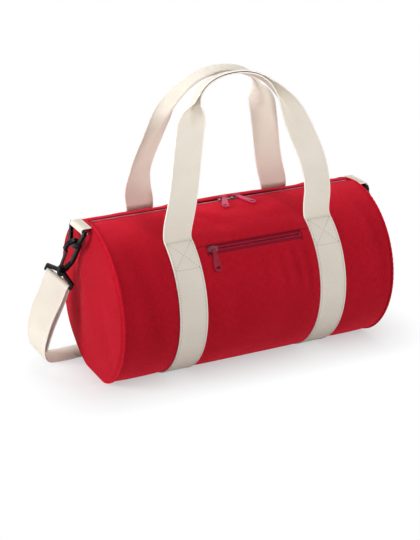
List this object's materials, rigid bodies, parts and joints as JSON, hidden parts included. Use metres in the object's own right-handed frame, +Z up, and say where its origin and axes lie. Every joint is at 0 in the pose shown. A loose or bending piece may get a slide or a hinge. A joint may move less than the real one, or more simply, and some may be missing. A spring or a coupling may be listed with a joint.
{
  "type": "barrel bag",
  "caption": "Small soft barrel bag with twin webbing carry handles, a zip along the top, a front zip pocket and a clip-on shoulder strap.",
  "frame": {"origin": "on the floor under the middle of the bag", "axes": "+X along the bag, -Y towards the pocket side, +Z up"},
  "size_m": [0.537, 0.2261, 0.4019],
  "materials": {
    "body_cloth": "woven polyester",
    "webbing": "woven cotton webbing",
    "zip_tape": "woven tape",
    "zip_coil": "moulded",
    "zip_metal": "painted",
    "fittings": "moulded"
  },
  "bodies": {
    "bag": {"barrel_panel": "body_cloth", "left_end_panel": "body_cloth", "right_end_panel": "body_cloth", "left_end_welt": "body_cloth", "right_end_welt": "body_cloth", "left_seam_binding": "body_cloth", "right_seam_binding": "body_cloth", "pocket_panel": "body_cloth", "front_zip_tape": "zip_tape", "rear_zip_tape": "zip_tape", "upper_pocket_tape": "zip_tape", "lower_pocket_tape": "zip_tape", "front_zip_coil": "zip_coil", "rear_zip_coil": "zip_coil", "upper_pocket_coil": "zip_coil", "lower_pocket_coil": "zip_coil", "pocket_left_stop": "zip_metal", "pocket_right_stop": "zip_metal", "left_band": "webbing", "right_band": "webbing", "left_ring_tab": "webbing", "right_ring_tab": "webbing", "left_strap_fall": "webbing", "right_strap_fall": "webbing", "left_strap_fold": "webbing", "right_strap_return": "webbing", "strap_run": "webbing", "strap_return": "webbing"},
    "left_slider": {"left_zip_slider": "zip_metal"},
    "left_puller": {"left_zip_puller": "zip_metal"},
    "right_slider": {"right_zip_slider": "zip_metal"},
    "right_puller": {"right_zip_puller": "zip_metal"},
    "pocket_slider_body": {"pocket_slider": "zip_metal"},
    "pocket_puller_body": {"pocket_puller": "zip_metal"},
    "front_handle_body": {"front_handle": "webbing"},
    "rear_handle_body": {"rear_handle": "webbing"},
    "left_ring_body": {"left_ring": "fittings"},
    "right_ring_body": {"right_ring": "fittings"},
    "left_eye_body": {"left_swivel_eye": "fittings", "left_strap_loop": "webbing"},
    "right_eye_body": {"right_swivel_eye": "fittings", "right_strap_loop": "webbing"},
    "left_hook_body": {"left_snap_hook": "fittings"},
    "right_hook_body": {"right_snap_hook": "fittings"},
    "left_gate_body": {"left_hook_gate": "fittings"},
    "right_gate_body": {"right_hook_gate": "fittings"},
    "adjuster_body": {"strap_adjuster": "fittings"}
  },
  "joints": [
    {"name": "left_slider_run", "type": "slide", "parent": "bag", "child": "left_slider", "axis": [-1, 0, 0], "range_m": [0, 0.18]},
    {"name": "left_puller_lift", "type": "hinge", "parent": "left_slider", "child": "left_puller", "pos_m": [-0.001, 0.00985, 0.22023], "axis": [-1, 0, 0], "range_deg": [0, 160]},
    {"name": "right_slider_run", "type": "slide", "parent": "bag", "child": "right_slider", "axis": [1, 0, 0], "range_m": [0, 0.163]},
    {"name": "right_puller_lift", "type": "hinge", "parent": "right_slider", "child": "right_puller", "pos_m": [0.018, 0.00985, 0.22023], "axis": [-1, 0, 0], "range_deg": [0, 160]},
    {"name": "pocket_slider_run", "type": "slide", "parent": "bag", "child": "pocket_slider_body", "axis": [1, 0, 0], "range_m": [0, 0.119]},
    {"name": "pocket_puller_lift", "type": "hinge", "parent": "pocket_slider_body", "child": "pocket_puller_body", "pos_m": [-0.062, -0.08378, 0.188], "axis": [-1, 0, 0], "range_deg": [0, 160]},
    {"name": "front_handle_fold", "type": "hinge", "parent": "bag", "child": "front_handle_body", "pos_m": [0, -0.06361, 0.20021], "axis": [1, 0, 0], "range_deg": [0, 115]},
    {"name": "rear_handle_fold", "type": "hinge", "parent": "bag", "child": "rear_handle_body", "pos_m": [0, 0.06361, 0.20021], "axis": [-1, 0, 0], "range_deg": [0, 115]},
    {"name": "left_ring_swing", "type": "hinge", "parent": "bag", "child": "left_ring_body", "pos_m": [-0.2125, 0.00906, 0.21126], "axis": [0, 1, 0], "range_deg": [0, 25]},
    {"name": "left_eye_swing", "type": "hinge", "parent": "bag", "child": "left_eye_body", "pos_m": [-0.2125, 0.00906, 0.21126], "axis": [0, 1, 0], "range_deg": [0, 25], "deforming": ["left_strap_fall", "left_strap_fold"]},
    {"name": "left_hook_swivel", "type": "hinge", "parent": "left_eye_body", "child": "left_hook_body", "pos_m": [-0.23131, 0.02802, 0.14792], "axis": [0.225, -0.4226, 0.8779], "range_deg": [-15, 15]},
    {"name": "left_gate_open", "type": "hinge", "parent": "left_hook_body", "child": "left_gate_body", "pos_m": [-0.23433, 0.02482, 0.15456], "axis": [0, 0.901, 0.4337], "range_deg": [0, 20], "stiffness_Nm_per_rad": 0.01},
    {"name": "right_ring_swing", "type": "hinge", "parent": "bag", "child": "right_ring_body", "pos_m": [0.2125, 0.00906, 0.21126], "axis": [0, -1, 0], "range_deg": [0, 25]},
    {"name": "right_eye_swing", "type": "hinge", "parent": "bag", "child": "right_eye_body", "pos_m": [0.2125, 0.00906, 0.21126], "axis": [0, -1, 0], "range_deg": [0, 25], "deforming": ["right_strap_fall", "right_strap_return"]},
    {"name": "right_hook_swivel", "type": "hinge", "parent": "right_eye_body", "child": "right_hook_body", "pos_m": [0.23131, 0.02802, 0.14792], "axis": [0.225, 0.4226, -0.8779], "range_deg": [-15, 15]},
    {"name": "right_gate_open", "type": "hinge", "parent": "right_hook_body", "child": "right_gate_body", "pos_m": [0.23433, 0.02482, 0.15456], "axis": [0, -0.901, -0.4337], "range_deg": [0, 20], "stiffness_Nm_per_rad": 0.01},
    {"name": "adjuster_run", "type": "slide", "parent": "bag", "child": "adjuster_body", "axis": [1, 0, 0], "range_m": [0, 0.12], "deforming": ["strap_return"]}
  ],
  "couplings": [
    {"joint": "left_eye_swing", "follows": "left_ring_swing", "ratio": 1},
    {"joint": "right_eye_swing", "follows": "right_ring_swing", "ratio": 1}
  ]
}
